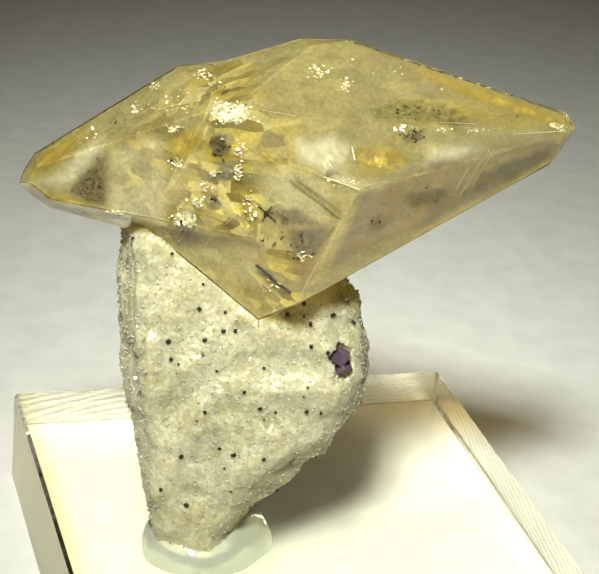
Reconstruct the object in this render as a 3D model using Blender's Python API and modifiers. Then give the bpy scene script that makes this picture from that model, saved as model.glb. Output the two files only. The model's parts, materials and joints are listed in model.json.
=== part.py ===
"""A twinned calcite crystal on its druzy stone matrix, set in clear adhesive on an acrylic block.

Units are metres and +Z is up. The origin is the middle of the block's underside, and the block's
sides follow X and Y. The specimen leans, so it is modelled in a frame of its own, in millimetres:
x along the crystal, y from its front to its back, z up the stone from the stone's foot.
"""

import math

import bmesh
import bpy
from mathutils import Euler, Matrix, Vector, noise

MM = 0.001

# The block: a sawn square of 3/8 inch acrylic sheet, 1 3/4 inches a side, its edges just broken.
BLOCK_SIDE = 44.5
BLOCK_THICKNESS = 9.5
BLOCK_EDGE_BREAK = 0.3

# Where the stone's foot stands on the block, and how the specimen leans, in degrees about X, Y, Z.
FOOT_ON_BLOCK = (-10.4, -8.8)
SPECIMEN_LEAN = (-13.5, -5.2, -16.0)

# The clearance between pieces that touch.
CONTACT_GAP = 0.3

# Corners of the larger crystal of the twin, which points right.
RIGHT_CORNERS = {
    "front_tip": (29.6, -4.0, 37.0),
    "tip_high": (29.5, -2.4, 38.5),
    "tip_foot": (28.4, -2.8, 34.3),
    "nose": (30.4, -2.6, 37.2),
    "crown": (12.3, -2.5, 44.3),
    "crown_left": (8.2, -2.5, 44.4),
    "crown_front": (9.7, -6.0, 43.6),
    "crown_back": (9.7, 2.0, 43.6),
    "front_upper": (5.0, -11.0, 39.3),
    "front_left": (5.0, -12.8, 36.6),
    "front_ridge": (12.8, -12.0, 33.6),
    "keel": (8.2, -8.0, 23.9),
    "keel_left": (4.8, -4.5, 21.7),
    "flank_left": (-5.1, -4.5, 30.1),
    "flank_front": (4.6, -9.9, 29.3),
    "notch": (2.2, -3.0, 42.7),
    "notch_front": (4.1, -8.0, 41.3),
    "notch_back": (3.2, 2.5, 41.5),
    "waist_top": (1.3, -3.0, 42.2),
    "waist_front": (-1.4, -7.5, 35.3),
    "waist_low": (-6.0, -2.0, 27.9),
    "back_upper": (10.7, 6.0, 40.3),
    "back_lower": (10.7, 5.0, 28.9),
    "back_left": (-1.3, 5.5, 31.0),
    "back_left_top": (2.6, 5.8, 37.8),
    "under_back": (0.0, 5.0, 29.7),
}

# Each of its faces is the plane through three of those corners.
RIGHT_FACES = (
    ("front_tip", "crown", "front_upper"),
    ("front_tip", "front_upper", "front_ridge"),
    ("front_tip", "front_ridge", "keel"),
    ("front_left", "front_ridge", "keel"),
    ("keel_left", "flank_left", "flank_front"),
    ("front_tip", "tip_high", "nose"),
    ("front_tip", "tip_foot", "nose"),
    ("tip_high", "crown", "back_upper"),
    ("nose", "back_upper", "back_lower"),
    ("tip_foot", "keel", "keel_left"),
    ("tip_foot", "keel_left", "back_lower"),
    ("crown", "crown_left", "crown_front"),
    ("crown", "crown_left", "crown_back"),
    ("crown_left", "notch", "notch_front"),
    ("crown_left", "notch", "notch_back"),
    ("waist_top", "waist_low", "waist_front"),
    ("keel_left", "flank_left", "under_back"),
    ("back_upper", "back_left", "back_left_top"),
)
RIGHT_MIDDLE = (8.0, -2.0, 34.0)

# Corners of the smaller crystal, whose blunt end points left.
LEFT_CORNERS = {
    "apex": (-17.8, -0.5, 32.4),
    "tip": (-14.8, -0.3, 32.4),
    "tip_high": (-13.9, -0.2, 34.8),
    "tip_front": (-13.9, -2.2, 32.8),
    "tip_low": (-12.5, -0.6, 30.4),
    "tip_low_front": (-13.3, -2.4, 32.2),
    "top": (-1.7, -2.0, 42.2),
    "top_right": (2.1, -2.4, 42.6),
    "front_upper": (1.6, -9.5, 39.6),
    "front_lower": (4.9, -10.6, 29.4),
    "keel": (-5.4, -2.0, 28.7),
    "back_upper": (1.8, 5.0, 38.3),
    "back_lower": (1.3, 5.5, 30.1),
    "end_top": (4.7, -11.0, 40.3),
    "end_low": (4.9, -11.0, 29.5),
    "end_back": (9.0, 4.0, 33.7),
}

LEFT_FACES = (
    ("apex", "top", "front_upper"),
    ("apex", "front_upper", "front_lower"),
    ("tip_low", "front_lower", "keel"),
    ("tip_low", "keel", "back_lower"),
    ("apex", "back_lower", "back_upper"),
    ("apex", "back_upper", "top"),
    ("tip", "tip_high", "tip_front"),
    ("tip", "tip_low", "tip_low_front"),
    ("top", "top_right", "front_upper"),
    ("top", "top_right", "back_upper"),
    ("end_top", "end_low", "end_back"),
)
LEFT_MIDDLE = (-2.0, -1.0, 35.0)

# A crystal starts as a cube this wide, from which its faces are cut.
ROUGH_CRYSTAL_SIZE = 80.0

# The stone seen from its front: x and z of its outline, anticlockwise from its upper left.
STONE_OUTLINE = (
    (-6.6, 28.4), (-6.9, 26.0), (-6.8, 21.5), (-7.1, 18.0), (-6.8, 15.5), (-6.1, 12.2),
    (-5.5, 8.5), (-5.2, 4.6), (-4.6, 2.0), (-4.2, -1.5), (1.4, -1.5), (2.2, 2.0),
    (5.2, 5.6), (7.5, 7.3), (8.4, 9.0), (11.0, 11.0), (13.2, 13.8), (13.5, 18.0),
    (13.0, 22.0), (11.9, 24.2), (10.8, 26.0), (6.0, 27.8), (0.0, 31.0), (-4.4, 31.2),
)
STONE_FRONT = -4.5
STONE_BACK = 4.6
STONE_FOOT_TAPER = 1.6
STONE_TAPER_HEIGHT = 16.0
STONE_CORNER_X = -4.8
STONE_SIDE_SLOPE = 1.9
STONE_EDGE_ROUNDING = 3.2
STONE_EDGE_THINNING = 0.45
STONE_GRID = 0.9

# The stone's relief: lumps, the druse's crystal clumps and pits, as (size, height) pairs.
STONE_RELIEF = ((7.0, 0.8), (2.4, 0.55), (1.2, 0.3))

# The adhesive: a low bead around and under the stone's foot, long side along the foot.
ADHESIVE_UNDER_STONE = 0.7
ADHESIVE_CENTRE = (-9.6, -6.3)
ADHESIVE_SIZE = (12.8, 10.6, 4.2)
ADHESIVE_TURN = 34.0
ADHESIVE_RINGS = 14
ADHESIVE_SIDES = 40

# Purple fluorite cubes in one cluster on the stone's right: centre, size, turn in degrees.
FLUORITE_CUBES = (
    ((11.5, -4.0, 18.6), 1.1, (20.0, 35.0, 10.0)),
    ((11.75, -3.8, 17.6), 0.95, (50.0, 10.0, 40.0)),
)

# Points of a mesh nearer to each other than this are one point.
WELD_DISTANCE = 0.001

# Materials: name, linear colour, roughness, transmission and refractive index.
CALCITE = ("pale_yellow_calcite", (0.62, 0.53, 0.26), 0.05, 0.9, 1.658)
STONE = ("druzy_cream_stone", (0.55, 0.53, 0.36), 0.65, 0.0, 1.55)
FLUORITE = ("purple_fluorite", (0.11, 0.05, 0.16), 0.2, 0.0, 1.434)
ADHESIVE = ("clear_adhesive", (0.75, 0.8, 0.76), 0.1, 0.9, 1.5)
ACRYLIC = ("clear_acrylic", (0.85, 0.84, 0.74), 0.08, 0.9, 1.49)


def clear_scene():
    """Remove whatever the scene holds."""
    for thing in list(bpy.data.objects):
        bpy.data.objects.remove(thing, do_unlink=True)


def make_collection(name):
    """Add a collection to the scene."""
    collection = bpy.data.collections.new(name)
    bpy.context.scene.collection.children.link(collection)
    return collection


def make_material(name, colour, roughness, transmission, ior):
    """A Principled material."""
    material = bpy.data.materials.new(name)
    material.use_nodes = True
    shader = material.node_tree.nodes["Principled BSDF"]
    shader.inputs["Base Color"].default_value = (*colour, 1.0)
    shader.inputs["Roughness"].default_value = roughness
    shader.inputs["Metallic"].default_value = 0.0
    shader.inputs["Transmission Weight"].default_value = transmission
    shader.inputs["IOR"].default_value = ior
    material.diffuse_color = (*colour, 1.0)
    return material


def add_object(name, mesh, collection, parent=None, material=None):
    """Wrap a mesh in an object, in its collection and under its parent."""
    thing = bpy.data.objects.new(name, mesh)
    collection.objects.link(thing)
    thing.parent = parent
    if material:
        mesh.materials.append(material)
    return thing


def add_cutter(name, mesh, collection, parent=None):
    """An object that only shapes others."""
    cutter = add_object(name, mesh, collection, parent)
    cutter.hide_render = True
    cutter.display_type = "WIRE"
    return cutter


def add_boolean(thing, operation, other):
    """Join or cut one object with another, exactly."""
    modifier = thing.modifiers.new(f"{operation.title()} {other.name}", "BOOLEAN")
    modifier.operation = operation
    modifier.solver = "EXACT"
    modifier.object = other


def mesh_from(bm, name):
    """Finish a bmesh as a mesh, scaled from millimetres to metres."""
    bmesh.ops.scale(bm, vec=(MM, MM, MM), verts=bm.verts)
    mesh = bpy.data.meshes.new(name)
    bm.to_mesh(mesh)
    bm.free()
    return mesh


def box_mesh(name, size, centre, turn=(0.0, 0.0, 0.0)):
    """A box from its size, centre and turn."""
    bm = bmesh.new()
    angles = Euler([math.radians(angle) for angle in turn])
    place = Matrix.Translation(centre) @ angles.to_matrix().to_4x4() @ Matrix.Diagonal((*size, 1.0))
    bmesh.ops.create_cube(bm, size=1.0, matrix=place)
    return mesh_from(bm, name)


def cut_face(bm, points, middle, grow):
    """Cut the rough crystal by the plane through three corners, and close the cut."""
    first, second, third = (Vector(point) for point in points)
    normal = (second - first).cross(third - first).normalized()
    if normal.dot(Vector(middle) - first) > 0.0:
        normal.negate()
    everything = bm.verts[:] + bm.edges[:] + bm.faces[:]
    cut = bmesh.ops.bisect_plane(
        bm, geom=everything, plane_co=first + normal * grow, plane_no=normal, clear_outer=True
    )
    rim = [item for item in cut["geom_cut"] if isinstance(item, bmesh.types.BMEdge)]
    bmesh.ops.contextual_create(bm, geom=rim)


def crystal_mesh(name, corners, faces, middle, grow=0.0):
    """A crystal with flat faces, each cut from the rough in turn."""
    bm = bmesh.new()
    size = ROUGH_CRYSTAL_SIZE
    bmesh.ops.create_cube(bm, size=size, matrix=Matrix.Translation(middle))
    for face in faces:
        cut_face(bm, [corners[corner] for corner in face], middle, grow)
    bmesh.ops.recalc_face_normals(bm, faces=bm.faces)
    return mesh_from(bm, name)


def build_calcite(parts, cutters, specimen, material):
    """The twin: the right-hand crystal with the left-hand one grown into it."""
    right = crystal_mesh("calcite_crystal", RIGHT_CORNERS, RIGHT_FACES, RIGHT_MIDDLE)
    left = crystal_mesh("left_twin", LEFT_CORNERS, LEFT_FACES, LEFT_MIDDLE)
    calcite = add_object("calcite_crystal", right, parts, specimen, material)
    add_boolean(calcite, "UNION", add_cutter("left_twin", left, cutters, specimen))
    return calcite


def build_calcite_sockets(cutters, specimen):
    """Both crystals grown by the contact gap, to cut the stone with."""
    sockets = []
    twins = (
        ("right_socket", RIGHT_CORNERS, RIGHT_FACES, RIGHT_MIDDLE),
        ("left_socket", LEFT_CORNERS, LEFT_FACES, LEFT_MIDDLE),
    )
    for name, corners, faces, middle in twins:
        mesh = crystal_mesh(name, corners, faces, middle, CONTACT_GAP)
        sockets.append(add_cutter(name, mesh, cutters, specimen))
    return sockets


def distance_to_outline(x, z):
    """How far a point lies from the stone's outline."""
    nearest = math.inf
    point = Vector((x, z))
    for index, end in enumerate(STONE_OUTLINE):
        start = Vector(STONE_OUTLINE[index - 1])
        run = Vector(end) - start
        share = max(0.0, min(1.0, (point - start).dot(run) / run.length_squared))
        nearest = min(nearest, (point - start - run * share).length)
    return nearest


def stone_depth(x, y, z):
    """Move a point of the flat slab to the stone's real depth."""
    height = min(1.0, max(0.0, z / STONE_TAPER_HEIGHT))
    front = STONE_FRONT + STONE_FOOT_TAPER * (1.0 - height)
    front += STONE_SIDE_SLOPE * max(0.0, STONE_CORNER_X - x)
    share = (y - STONE_FRONT) / (STONE_BACK - STONE_FRONT)
    edge = min(1.0, distance_to_outline(x, z) / STONE_EDGE_ROUNDING)
    pinch = STONE_EDGE_THINNING * (1.0 - edge) ** 2
    share = pinch * 0.5 + share * (1.0 - pinch)
    return front + share * (STONE_BACK - front)


def relief_at(point):
    """Height of the stone's lumps and druse at a point."""
    height = 0.0
    for size, amount in STONE_RELIEF:
        height += amount * noise.noise(point / size + Vector((size, 0.0, 0.0)))
    return height


def slab_mesh():
    """The outline as a flat slab, remeshed into an even skin."""
    curve = bpy.data.curves.new("stone_outline", "CURVE")
    curve.dimensions = "2D"
    curve.fill_mode = "BOTH"
    curve.extrude = (STONE_BACK - STONE_FRONT) / 2.0
    spline = curve.splines.new("POLY")
    spline.points.add(len(STONE_OUTLINE) - 1)
    for point, (x, z) in zip(spline.points, STONE_OUTLINE):
        point.co = (x, z, 0.0, 1.0)
    spline.use_cyclic_u = True
    outline = bpy.data.objects.new("stone_outline", curve)
    bpy.context.scene.collection.objects.link(outline)
    flat = bpy.data.meshes.new_from_object(outline.evaluated_get(bpy.context.evaluated_depsgraph_get()))
    bpy.data.objects.remove(outline)
    bm = bmesh.new()
    bm.from_mesh(flat)
    bmesh.ops.remove_doubles(bm, verts=bm.verts, dist=WELD_DISTANCE)
    upright = Matrix.Rotation(math.radians(90.0), 4, "X")
    middle = Matrix.Translation((0.0, (STONE_BACK + STONE_FRONT) / 2.0, 0.0))
    bmesh.ops.transform(bm, matrix=middle @ upright, verts=bm.verts)
    bmesh.ops.recalc_face_normals(bm, faces=bm.faces)
    bm.to_mesh(flat)
    bm.free()
    slab = bpy.data.objects.new("flat_slab", flat)
    bpy.context.scene.collection.objects.link(slab)
    remesh = slab.modifiers.new("Even skin", "REMESH")
    remesh.mode = "VOXEL"
    remesh.voxel_size = STONE_GRID
    skin = bpy.data.meshes.new_from_object(slab.evaluated_get(bpy.context.evaluated_depsgraph_get()))
    bpy.data.objects.remove(slab)
    return skin


def stone_mesh(name, grow=0.0):
    """The stone with its depth and its druzy relief, grown outwards if asked."""
    bm = bmesh.new()
    bm.from_mesh(slab_mesh())
    for vertex in bm.verts:
        x, y, z = vertex.co
        vertex.co.y = stone_depth(x, y, z)
    bm.normal_update()
    moves = [vertex.normal * (relief_at(vertex.co) + grow) for vertex in bm.verts]
    for vertex, move in zip(bm.verts, moves):
        vertex.co += move
    bmesh.ops.triangulate(bm, faces=bm.faces)
    return mesh_from(bm, name)


def build_stone(parts, cutters, specimen, material, sockets):
    """The matrix: cut by the crystal above, the fluorite at its side and the block below."""
    stone = add_object("stone_matrix", stone_mesh("stone_matrix"), parts, specimen, material)
    for socket in sockets:
        add_boolean(stone, "DIFFERENCE", socket)
    block_room = box_mesh(
        "block_room",
        (BLOCK_SIDE, BLOCK_SIDE, BLOCK_THICKNESS),
        (0.0, 0.0, BLOCK_THICKNESS / 2.0 + 2.0 * CONTACT_GAP + ADHESIVE_UNDER_STONE),
    )
    add_boolean(stone, "DIFFERENCE", add_cutter("block_room", block_room, cutters))
    return stone


def fluorite_meshes(kind, grow=0.0):
    """The cluster's cubes, grown outwards if asked."""
    meshes = []
    for number, (centre, size, turn) in enumerate(FLUORITE_CUBES):
        side = size + 2.0 * grow
        meshes.append(box_mesh(f"{kind}_{number}", (side, side, side), centre, turn))
    return meshes


def build_fluorite(parts, cutters, specimen, material):
    """The fluorite: cubes grown into each other."""
    first, *others = fluorite_meshes("fluorite_cube")
    grain = add_object("fluorite_grain", first, parts, specimen, material)
    for mesh in others:
        add_boolean(grain, "UNION", add_cutter(mesh.name, mesh, cutters, specimen))
    return grain


def build_fluorite_sockets(cutters, specimen):
    """The cubes grown by the contact gap, to cut the stone with."""
    meshes = fluorite_meshes("fluorite_socket", CONTACT_GAP)
    return [add_cutter(mesh.name, mesh, cutters, specimen) for mesh in meshes]


def build_adhesive(parts, cutters, specimen, material):
    """The bead of clear adhesive, domed on the block and hollow where the stone stands in it."""
    bm = bmesh.new()
    length, width, height = ADHESIVE_SIZE
    turn = Matrix.Rotation(math.radians(ADHESIVE_TURN), 4, "Z")
    top_of_block = BLOCK_THICKNESS + CONTACT_GAP
    place = Matrix.Translation((*ADHESIVE_CENTRE, top_of_block)) @ turn
    shape = Matrix.Diagonal((length / 2.0, width / 2.0, height, 1.0))
    bmesh.ops.create_uvsphere(
        bm, u_segments=ADHESIVE_SIDES, v_segments=ADHESIVE_RINGS, radius=1.0, matrix=place @ shape
    )
    mesh = mesh_from(bm, "adhesive_bead")
    adhesive = add_object("adhesive_bead", mesh, parts, None, material)
    adhesive.data.shade_smooth()
    stone_room = add_cutter("stone_room", stone_mesh("stone_room", CONTACT_GAP), cutters, specimen)
    add_boolean(adhesive, "DIFFERENCE", stone_room)
    below = box_mesh(
        "below_adhesive",
        (BLOCK_SIDE, BLOCK_SIDE, 2.0 * height),
        (0.0, 0.0, top_of_block - height),
    )
    add_boolean(adhesive, "DIFFERENCE", add_cutter("below_adhesive", below, cutters))
    return adhesive


def build_block(parts, material):
    """The acrylic block, with its edges broken."""
    size = (BLOCK_SIDE, BLOCK_SIDE, BLOCK_THICKNESS)
    mesh = box_mesh("acrylic_block", size, (0.0, 0.0, BLOCK_THICKNESS / 2.0))
    block = add_object("acrylic_block", mesh, parts, None, material)
    bevel = block.modifiers.new("Broken edges", "BEVEL")
    bevel.width = BLOCK_EDGE_BREAK * MM
    bevel.segments = 1
    return block


def main():
    clear_scene()
    parts = make_collection("calcite_specimen")
    cutters = make_collection("cutters")

    specimen = bpy.data.objects.new("specimen_frame", None)
    parts.objects.link(specimen)
    specimen.location = Vector((*FOOT_ON_BLOCK, BLOCK_THICKNESS)) * MM
    specimen.rotation_euler = [math.radians(angle) for angle in SPECIMEN_LEAN]

    build_block(parts, make_material(*ACRYLIC))
    build_adhesive(parts, cutters, specimen, make_material(*ADHESIVE))
    build_calcite(parts, cutters, specimen, make_material(*CALCITE))
    build_fluorite(parts, cutters, specimen, make_material(*FLUORITE))
    sockets = build_calcite_sockets(cutters, specimen)
    sockets += build_fluorite_sockets(cutters, specimen)
    build_stone(parts, cutters, specimen, make_material(*STONE), sockets)


main()
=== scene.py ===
"""The looks of a calcite crystal specimen: crystal, druzy stone, fluorite, adhesive and acrylic block.

The file is laid out as an add-on and run as a script. Every length inside the functions is in
millimetres and in the part's own frame: origin at the middle of the block's underside, +Z up.
Meshes are scaled to metres when they are finished.
"""

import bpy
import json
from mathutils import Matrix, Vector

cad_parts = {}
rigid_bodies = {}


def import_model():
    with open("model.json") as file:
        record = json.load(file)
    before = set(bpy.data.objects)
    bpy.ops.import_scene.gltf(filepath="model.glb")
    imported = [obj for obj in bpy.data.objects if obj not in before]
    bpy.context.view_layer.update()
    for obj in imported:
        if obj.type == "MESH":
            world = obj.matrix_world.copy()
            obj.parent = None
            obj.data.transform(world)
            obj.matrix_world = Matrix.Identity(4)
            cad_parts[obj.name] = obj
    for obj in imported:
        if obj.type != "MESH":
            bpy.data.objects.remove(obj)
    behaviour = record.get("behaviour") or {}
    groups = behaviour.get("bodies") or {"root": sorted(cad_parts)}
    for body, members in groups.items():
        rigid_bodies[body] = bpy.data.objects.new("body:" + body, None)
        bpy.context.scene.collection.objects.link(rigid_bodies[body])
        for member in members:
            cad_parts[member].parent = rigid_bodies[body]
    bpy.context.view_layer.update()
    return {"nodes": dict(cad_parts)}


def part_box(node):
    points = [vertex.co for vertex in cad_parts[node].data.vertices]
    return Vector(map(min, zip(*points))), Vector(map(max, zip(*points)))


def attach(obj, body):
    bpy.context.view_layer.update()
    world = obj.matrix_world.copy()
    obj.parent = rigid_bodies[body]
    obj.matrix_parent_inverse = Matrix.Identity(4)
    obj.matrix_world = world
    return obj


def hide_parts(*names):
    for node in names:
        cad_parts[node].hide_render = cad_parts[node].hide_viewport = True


bl_info = {
    "name": "Calcite Crystal Specimen",
    "version": (1, 0, 0),
    "blender": (4, 5, 0),
    "location": "View3D > Sidebar > Calcite",
    "description": "Builds the finished surfaces of a calcite crystal on its stone and block",
    "category": "Add Mesh",
}

import json
import math
import random

import bmesh
import bpy
import numpy as np
from bpy.props import FloatProperty, FloatVectorProperty, IntProperty, PointerProperty
from mathutils import Euler, Matrix, Vector, noise
from mathutils.bvhtree import BVHTree
from mathutils.kdtree import KDTree

for leftover in list(bpy.data.objects):
    bpy.data.objects.remove(leftover, do_unlink=True)

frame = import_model()

MM = 0.001
WELD = 0.001
BODY = "root"

# The photograph's frame in pixels, and the camera that took it, in millimetres and degrees.
PHOTO_SIZE = (599, 574)
FOCAL_PIXELS = 1915.0
SENSOR = 36.0
CAMERA_PLACE = (-49.02, -143.08, 99.98)
CAMERA_TURN = (65.18, -5.22, -16.01)
# How many pixels a millimetre at the crystal takes.
PIXELS_PER_MM = 12.3

# The frame in which the stone stands upright, as the part's source sets it.
SPECIMEN_FOOT = (-10.4, -8.8, 9.5)
SPECIMEN_LEAN = (-13.5, -5.2, -16.0)

# The shadow on the floor places the main lamp, and the one on the stone the side lamp. Their
# beams open by an angle in degrees, so the floor far behind the specimen stays dark.
LOOK_AT = (-4.0, -6.0, 34.0)
KEY_DIRECTION = (-0.3, -0.55, 0.78)
KEY_DISTANCE = 230.0
KEY_WIDTH = 36.0
KEY_BEAM = 45.0
KEY_AIM = (6.0, 10.0, 34.0)
SIDE_DIRECTION = (-0.457, -0.297, 0.839)
SIDE_DISTANCE = 200.0
SIDE_WIDTH = 60.0
SIDE_BEAM = 66.0
FILL_DIRECTION = (-0.85, -0.25, 0.5)
FILL_DISTANCE = 420.0
FILL_WIDTH = 260.0
FLOOR_REACH = 3000.0
# The floor lies this far under the block, so that the two faces don't fight.
FLOOR_GAP = 0.03

CALCITE_IOR = 1.66
FLUORITE_IOR = 1.434
ACRYLIC_IOR = 1.49
ADHESIVE_IOR = 1.48
ACRYLIC_DENSITY = 16.0

# Light goes a little way into calcite clouds and druse, and red goes furthest.
GLOW = {"Subsurface Weight": 1.0, "Subsurface Radius": (1.0, 0.95, 0.7)}
COLOURS = {"data_type": "RGBA"}

# An edge of the solids that turns less than this, in degrees, isn't a real edge.
FLAT_ANGLE = 0.5
# The stone is drawn up to the crystal within the first distance, and its druse grows to full
# height over the second. Separate grains keep off the crystal by the third.
CONTACT = 0.5
DRUSE_FADE = 1.2
GRAIN_CLEARANCE = 0.6


def srgb(code):
    """A hex colour as the linear values that a shader takes."""
    values = []
    for start in (1, 3, 5):
        value = int(code[start:start + 2], 16) / 255.0
        values.append(value / 12.92 if value <= 0.04045 else ((value + 0.055) / 1.055) ** 2.4)
    return tuple(values)


def colour_property(name, description, code):
    """A colour that a user can change."""
    return FloatVectorProperty(
        name=name, description=description, subtype="COLOR", size=3, min=0.0, max=1.0, default=srgb(code)
    )


def length_property(name, description, size):
    """A length that a user can change, from its size in millimetres."""
    return FloatProperty(
        name=name, description=description, unit="LENGTH", subtype="DISTANCE", min=0.0, default=size * MM
    )


def power_property(name, description, power):
    """A lamp's power that a user can change, in watts."""
    return FloatProperty(name=name, description=description, unit="POWER", min=0.0, default=power)


class CrystalLooks(bpy.types.PropertyGroup):
    """Sizes and colours of the calcite."""

    straw: colour_property("Straw", "Colour of the clouds in the calcite", "#BEB792")
    gold: colour_property("Gold", "Colour of the iron-stained tips and edges", "#C8B763")
    milk: colour_property("Milk", "Colour of the thickest clouds", "#D8D6CB")
    # Painted shade: this grey stands in for the dark that shows through, and is reflected in, the clearest
    # parts of the crystal.
    thin_cloud_shade: colour_property("Thin cloud shade", "Colour of the thinnest clouds", "#A5A4A0")
    depth_tint: colour_property("Depth tint", "What is left of white light deep in the calcite", "#F5EAB8")
    lamp_tint: colour_property("Lamp tint", "What a face lets through of the lamps", "#E7E3D2")
    inclusion: colour_property("Inclusion", "Colour of the dark inclusions", "#2E281C")
    edge_width: length_property("Edge width", "Width of the worn crystal edges", 0.07)
    ripple: length_property("Ripple", "Height of the crystal faces' growth ripples", 0.035)


class StoneLooks(bpy.types.PropertyGroup):
    """Sizes and colours of the stone and what grows on it."""

    cream: colour_property("Cream", "Main colour of the druse", "#BDB697")
    pale: colour_property("Pale", "Colour of the druse's bright grains", "#D0CDB8")
    olive: colour_property("Olive", "Colour of the druse's hollows", "#B3AC82")
    speck: colour_property("Speck", "Colour of the dark specks", "#191712")
    grain: length_property("Grain", "Width of a druse crystal", 0.36)
    grain_count: IntProperty(
        name="Grain count", description="Number of separate druse crystals", min=0, default=5000
    )
    purple: colour_property("Purple", "Colour of the fluorite", "#472E48")


class MountLooks(bpy.types.PropertyGroup):
    """Sizes and colours of the block and the adhesive."""

    acrylic: colour_property("Acrylic", "What is left of white light in the block", "#F5F3E4")
    adhesive: colour_property("Adhesive", "Colour of the clear adhesive", "#EEF1E0")
    saw_spacing: length_property("Saw spacing", "Distance between saw marks on the block's sides", 0.9)
    saw_depth: length_property("Saw depth", "Depth of the saw marks", 0.05)


class StageLooks(bpy.types.PropertyGroup):
    """The floor and the light."""

    floor: colour_property("Floor", "Colour of the floor", "#E2E1DE")
    key_power: power_property("Key power", "Power of the main lamp", 0.076)
    side_power: power_property("Side power", "Power of the side lamp", 0.009)
    fill_power: power_property("Fill power", "Power of the soft fill", 0.06)
    ambient: FloatProperty(
        name="Ambient", description="Strength of the light from all round", min=0.0, default=0.045
    )


def turn_matrix(degrees):
    """A rotation from three angles in degrees."""
    return Euler([math.radians(angle) for angle in degrees]).to_matrix()


def camera_axes():
    """The camera's right, up and backward directions."""
    return turn_matrix(CAMERA_TURN).col


def sight(pixel):
    """The direction in which the camera sees a pixel of the photograph."""
    right, up, back = camera_axes()
    across = (pixel[0] - PHOTO_SIZE[0] / 2.0) / FOCAL_PIXELS
    down = (pixel[1] - PHOTO_SIZE[1] / 2.0) / FOCAL_PIXELS
    return (right * across - up * down - back).normalized()


def refracted(direction, normal, ratio):
    """The direction of a ray after it enters a clear solid."""
    cosine = -direction.dot(normal)
    sine_squared = ratio * ratio * (1.0 - cosine * cosine)
    return (direction * ratio + normal * (ratio * cosine - math.sqrt(1.0 - sine_squared))).normalized()


def specimen_matrix():
    """From the specimen's upright frame to the part's frame, in millimetres."""
    return Matrix.Translation(SPECIMEN_FOOT) @ turn_matrix(SPECIMEN_LEAN).to_4x4()


def solid_of(node):
    """A CAD node's solid as a welded bmesh, in millimetres."""
    bm = bmesh.new()
    bm.from_mesh(frame["nodes"][node].data)
    bmesh.ops.scale(bm, vec=(1.0 / MM,) * 3, verts=bm.verts)
    bmesh.ops.remove_doubles(bm, verts=bm.verts, dist=WELD)
    return bm


def tree_of(bm):
    """A bmesh made ready for ray casts."""
    bm.normal_update()
    return BVHTree.FromBMesh(bm)


CRYSTAL_TREE = tree_of(solid_of("calcite_crystal"))
STONE_TREE = tree_of(solid_of("stone_matrix"))


def add_object(name, data):
    """Add an object to the scene."""
    made = bpy.data.objects.new(name, data)
    bpy.context.scene.collection.objects.link(made)
    return made


def finish_mesh(bm, name, sharp=None):
    """Turn a bmesh in millimetres into a mesh in metres, with edges sharp from an angle in degrees."""
    bmesh.ops.scale(bm, vec=(MM,) * 3, verts=bm.verts)
    mesh = bpy.data.meshes.new(name)
    bm.to_mesh(mesh)
    bm.free()
    if sharp:
        mesh.set_sharp_from_angle(angle=math.radians(sharp))
    return mesh


def add_piece(mesh, materials, replaces=None):
    """Add a piece that rides with the part, named as its mesh."""
    for material in materials:
        mesh.materials.append(material)
    piece = add_object(mesh.name, mesh)
    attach(piece, BODY)
    if replaces:
        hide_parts(replaces)


def set_node(tree, node, values):
    """Set a node's own settings, in lower case, and set or link its sockets."""
    for name, value in values.items():
        if isinstance(value, bpy.types.Node):
            value = next(output for output in value.outputs if output.enabled)
        if isinstance(name, str) and name[0].islower():
            setattr(node, name, value)
        elif isinstance(value, bpy.types.NodeSocket):
            tree.links.new(value, node.inputs[name])
        elif node.inputs[name].type == "RGBA":
            node.inputs[name].default_value = (*value, 1.0)
        else:
            node.inputs[name].default_value = value
    return node


def add_node(tree, kind, values):
    """Add a shader node with its settings and links."""
    return set_node(tree, tree.nodes.new("ShaderNode" + kind), values)


def new_material(name):
    """A material, its node tree, its Principled shader and the part's place in millimetres."""
    material = bpy.data.materials.new(name)
    material.use_nodes = True
    tree = material.node_tree
    part = add_node(tree, "TexCoord", {}).outputs["Object"]
    place = add_node(tree, "VectorMath", {"operation": "SCALE", 0: part, "Scale": 1.0 / MM})
    return material, tree, tree.nodes["Principled BSDF"], place


def mottled_material(name, texture, tones, finish):
    """A material in two tones, mixed by a noise of so many patches to a millimetre."""
    material, tree, shader, place = new_material(name)
    patches = add_node(tree, "TexNoise", {"Vector": place, **texture})
    colour = add_node(tree, "Mix", {**COLOURS, 0: patches, 6: tones[0], 7: tones[1]})
    set_node(tree, shader, {"Base Color": colour, **finish})
    return material


def darker(colour, share):
    """A colour that returns only a share of its light."""
    return tuple(value * share for value in colour)


def lerp(low, high, share):
    """A value between two others."""
    return low + (high - low) * share


def smooth_step(value):
    """Ease a value between 0 and 1."""
    value = max(0.0, min(1.0, value))
    return value * value * (3.0 - 2.0 * value)


# The crystal


def calcite_material(looks):
    """Iceland-spar calcite, as grown: glossy, strongly refracting, and yellow by its depth."""
    material, tree, shader, place = new_material("calcite_natural_faces")
    ripple = add_node(tree, "TexNoise", {"Vector": place, "Scale": 1.6, "Detail": 4.0, "Roughness": 0.6})
    bump = add_node(tree, "Bump", {"Height": ripple, "Strength": 0.12, "Distance": 0.05 * MM})
    clear = {"Roughness": 0.03, "IOR": CALCITE_IOR, "Transmission Weight": 1.0}
    set_node(tree, shader, {"Base Color": srgb("#FDFBF2"), "Normal": bump, **clear})
    let_lamps_through(tree, shader, looks.lamp_tint)
    add_absorption(tree, looks.depth_tint, 70.0)
    return material


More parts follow.
